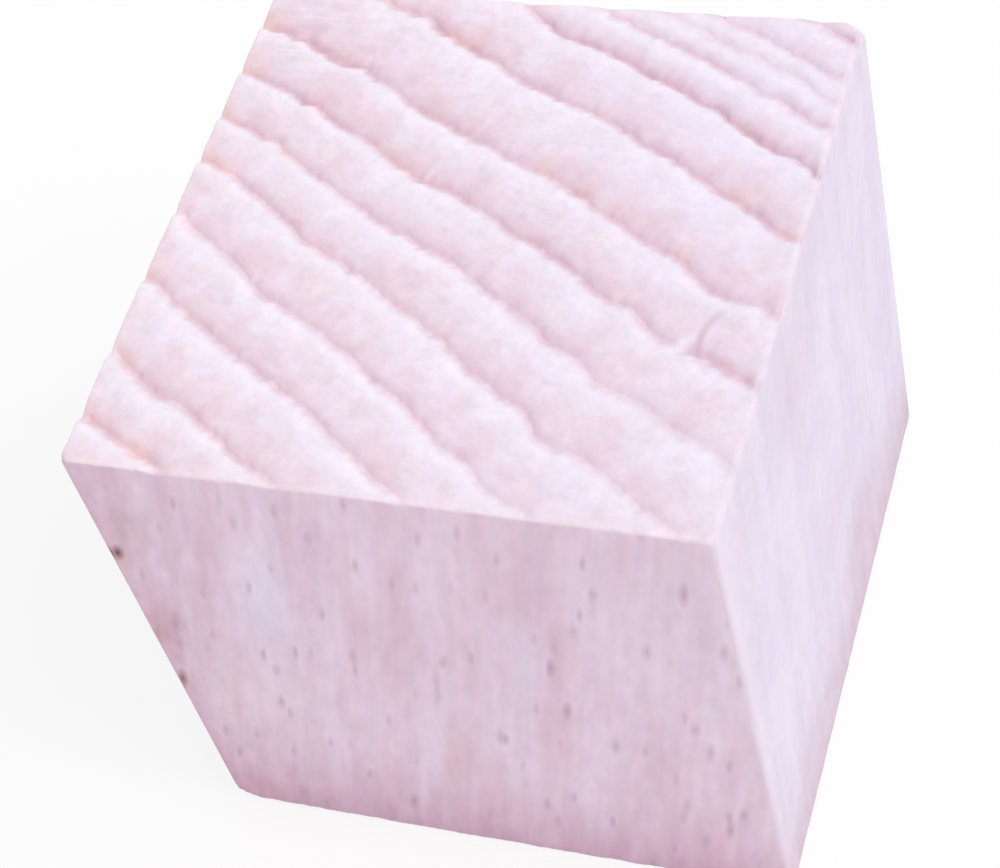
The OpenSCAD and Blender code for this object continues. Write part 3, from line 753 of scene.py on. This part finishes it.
# Two brown pin knots at the left edge: place, height, half width, half height and share. Each has
# a paler amber halo round it and a little below it.
PINS = [(-12.03, 19.1, 0.34, 0.6, 1.0), (-12.15, 10.0, 0.3, 0.9, 0.75)]
HALO_SIZE, HALO_SINK, HALO_SHARE = 2.0, 0.4, 0.5
for x, z, half_wide, half_long, dark in PINS:
    for tone, grow, sink, how in [(HALO, HALO_SIZE, HALO_SINK, HALO_SHARE), (PIN, 1.0, 0.0, dark)]:
        at = grain_place(x + in_x, grain_lean(x, FRONT_AT), z - sink)
        spot = soft_spot(tree, grain_map, (*at, 0), (half_wide * grow, half_long * grow, 1))
        spot = add(tree, "Math", {0: spot, 1: how}, operation="MULTIPLY", use_clamp=True)[0]
        colour = add(tree, "Mix", {0: spot, A: colour, B: linear(tone)}, data_type="RGBA")[MIXED]

# Along the grain the surface is smoother than across it
FIBRE_DEPTH, FIBRE_STRENGTH = 0.02 * MM, 0.35
LONG_SMOOTHEST, LONG_ROUGHEST = 0.66, 0.8
bump = add(tree, "Bump", {"Height": fibres, "Strength": FIBRE_STRENGTH, "Distance": FIBRE_DEPTH})[0]
rough = add(tree, "MapRange", {"Value": fibres, "To Min": LONG_SMOOTHEST, "To Max": LONG_ROUGHEST})[0]
shader = add(tree, "BsdfPrincipled", {"Base Color": colour, "Roughness": rough, "Normal": bump,
                                      "Specular IOR Level": SHEEN})[0]
add(tree, "OutputMaterial", {"Surface": shader})
cube_mesh.materials.append(long_grain)

# ---------------------------------------------------------------------------------------------
# The studio.
# A plain floor of white paper, a large soft lamp above on the right, and an even pale surround.
# The paper is a little brighter to the eye than what it throws back onto the block.
# ---------------------------------------------------------------------------------------------
FLOOR_HALF = 1.0
PAPER, PAPER_SEEN, PAPER_GLOW = "#E6E2E6", "#FFFFFF", 0.76
WHITE = (1, 1, 1, 1)
floor_mesh = bpy.data.meshes.new("floor")
floor_corners = [(x * FLOOR_HALF, y * FLOOR_HALF, 0) for x, y in [(-1, -1), (1, -1), (1, 1), (-1, 1)]]
floor_mesh.from_pydata(floor_corners, [], [(0, 1, 2, 3)])
floor = bpy.data.objects.new("floor", floor_mesh)
bpy.context.scene.collection.objects.link(floor)
paper = bpy.data.materials.new("white_paper")
paper.use_nodes = True
tree = paper.node_tree
tree.nodes.clear()
seen = add(tree, "LightPath", {})
straight = add(tree, "Math", {0: seen["Is Camera Ray"], 1: seen["Is Glossy Ray"]}, operation="MAXIMUM")[0]
straight = add(tree, "Math", {0: straight, 1: seen["Is Transmission Ray"]}, operation="MAXIMUM")[0]
shown = add(tree, "Mix", {0: straight, A: linear(PAPER), B: linear(PAPER_SEEN)}, data_type="RGBA")[MIXED]
matt = add(tree, "BsdfDiffuse", {"Color": shown})[0]
glowing = add(tree, "Emission", {"Color": WHITE, "Strength": 1.0})[0]
glow = add(tree, "Math", {0: straight, 1: PAPER_GLOW}, operation="MULTIPLY")[0]
paper_shader = add(tree, "MixShader", {0: glow, 1: matt, 2: glowing})[0]
add(tree, "OutputMaterial", {"Surface": paper_shader})
floor_mesh.materials.append(paper)

SURROUND = 0.73
world = bpy.data.worlds.new("pale_surround")
world.use_nodes = True
world.node_tree.nodes.clear()
surround = add(world.node_tree, "Background", {"Color": WHITE, "Strength": SURROUND})[0]
add(world.node_tree, "OutputWorld", {"Surface": surround})
bpy.context.scene.world = world

LAMP_TOWARDS, LAMP_AWAY = Vector((0.64, -0.05, 0.70)), 0.7   # seen from the block
LAMP_SIZE, LAMP_POWER = 0.5, 2.1          # metres and watts
lamp_data = bpy.data.lights.new("window", "AREA")
lamp_data.shape = "SQUARE"
lamp_data.size = LAMP_SIZE
lamp_data.energy = LAMP_POWER
lamp = bpy.data.objects.new("window", lamp_data)
bpy.context.scene.collection.objects.link(lamp)
lamp.location = LAMP_TOWARDS.normalized() * LAMP_AWAY
lamp.rotation_euler = lamp.location.to_track_quat("Z", "Y").to_euler()

# The camera looks down on the block from in front, a little from the right
LENS, SENSOR = 93.8035, 36                # millimetres
SEES_FROM, SEES_TO = 0.005, 10            # metres
CAMERA_AT, CAMERA_TURN = (0.033353, -0.059653, 0.096476), (38.0101, 11.0958, 16.4752)   # metres, degrees
camera_data = bpy.data.cameras.new("camera")
camera_data.lens = LENS
camera_data.sensor_width = SENSOR
camera_data.clip_start = SEES_FROM
camera_data.clip_end = SEES_TO
camera = bpy.data.objects.new("camera", camera_data)
bpy.context.scene.collection.objects.link(camera)
camera.location = CAMERA_AT
camera.rotation_euler = np.radians(CAMERA_TURN)
bpy.context.scene.camera = camera
bpy.context.scene.view_settings.view_transform = "Standard"
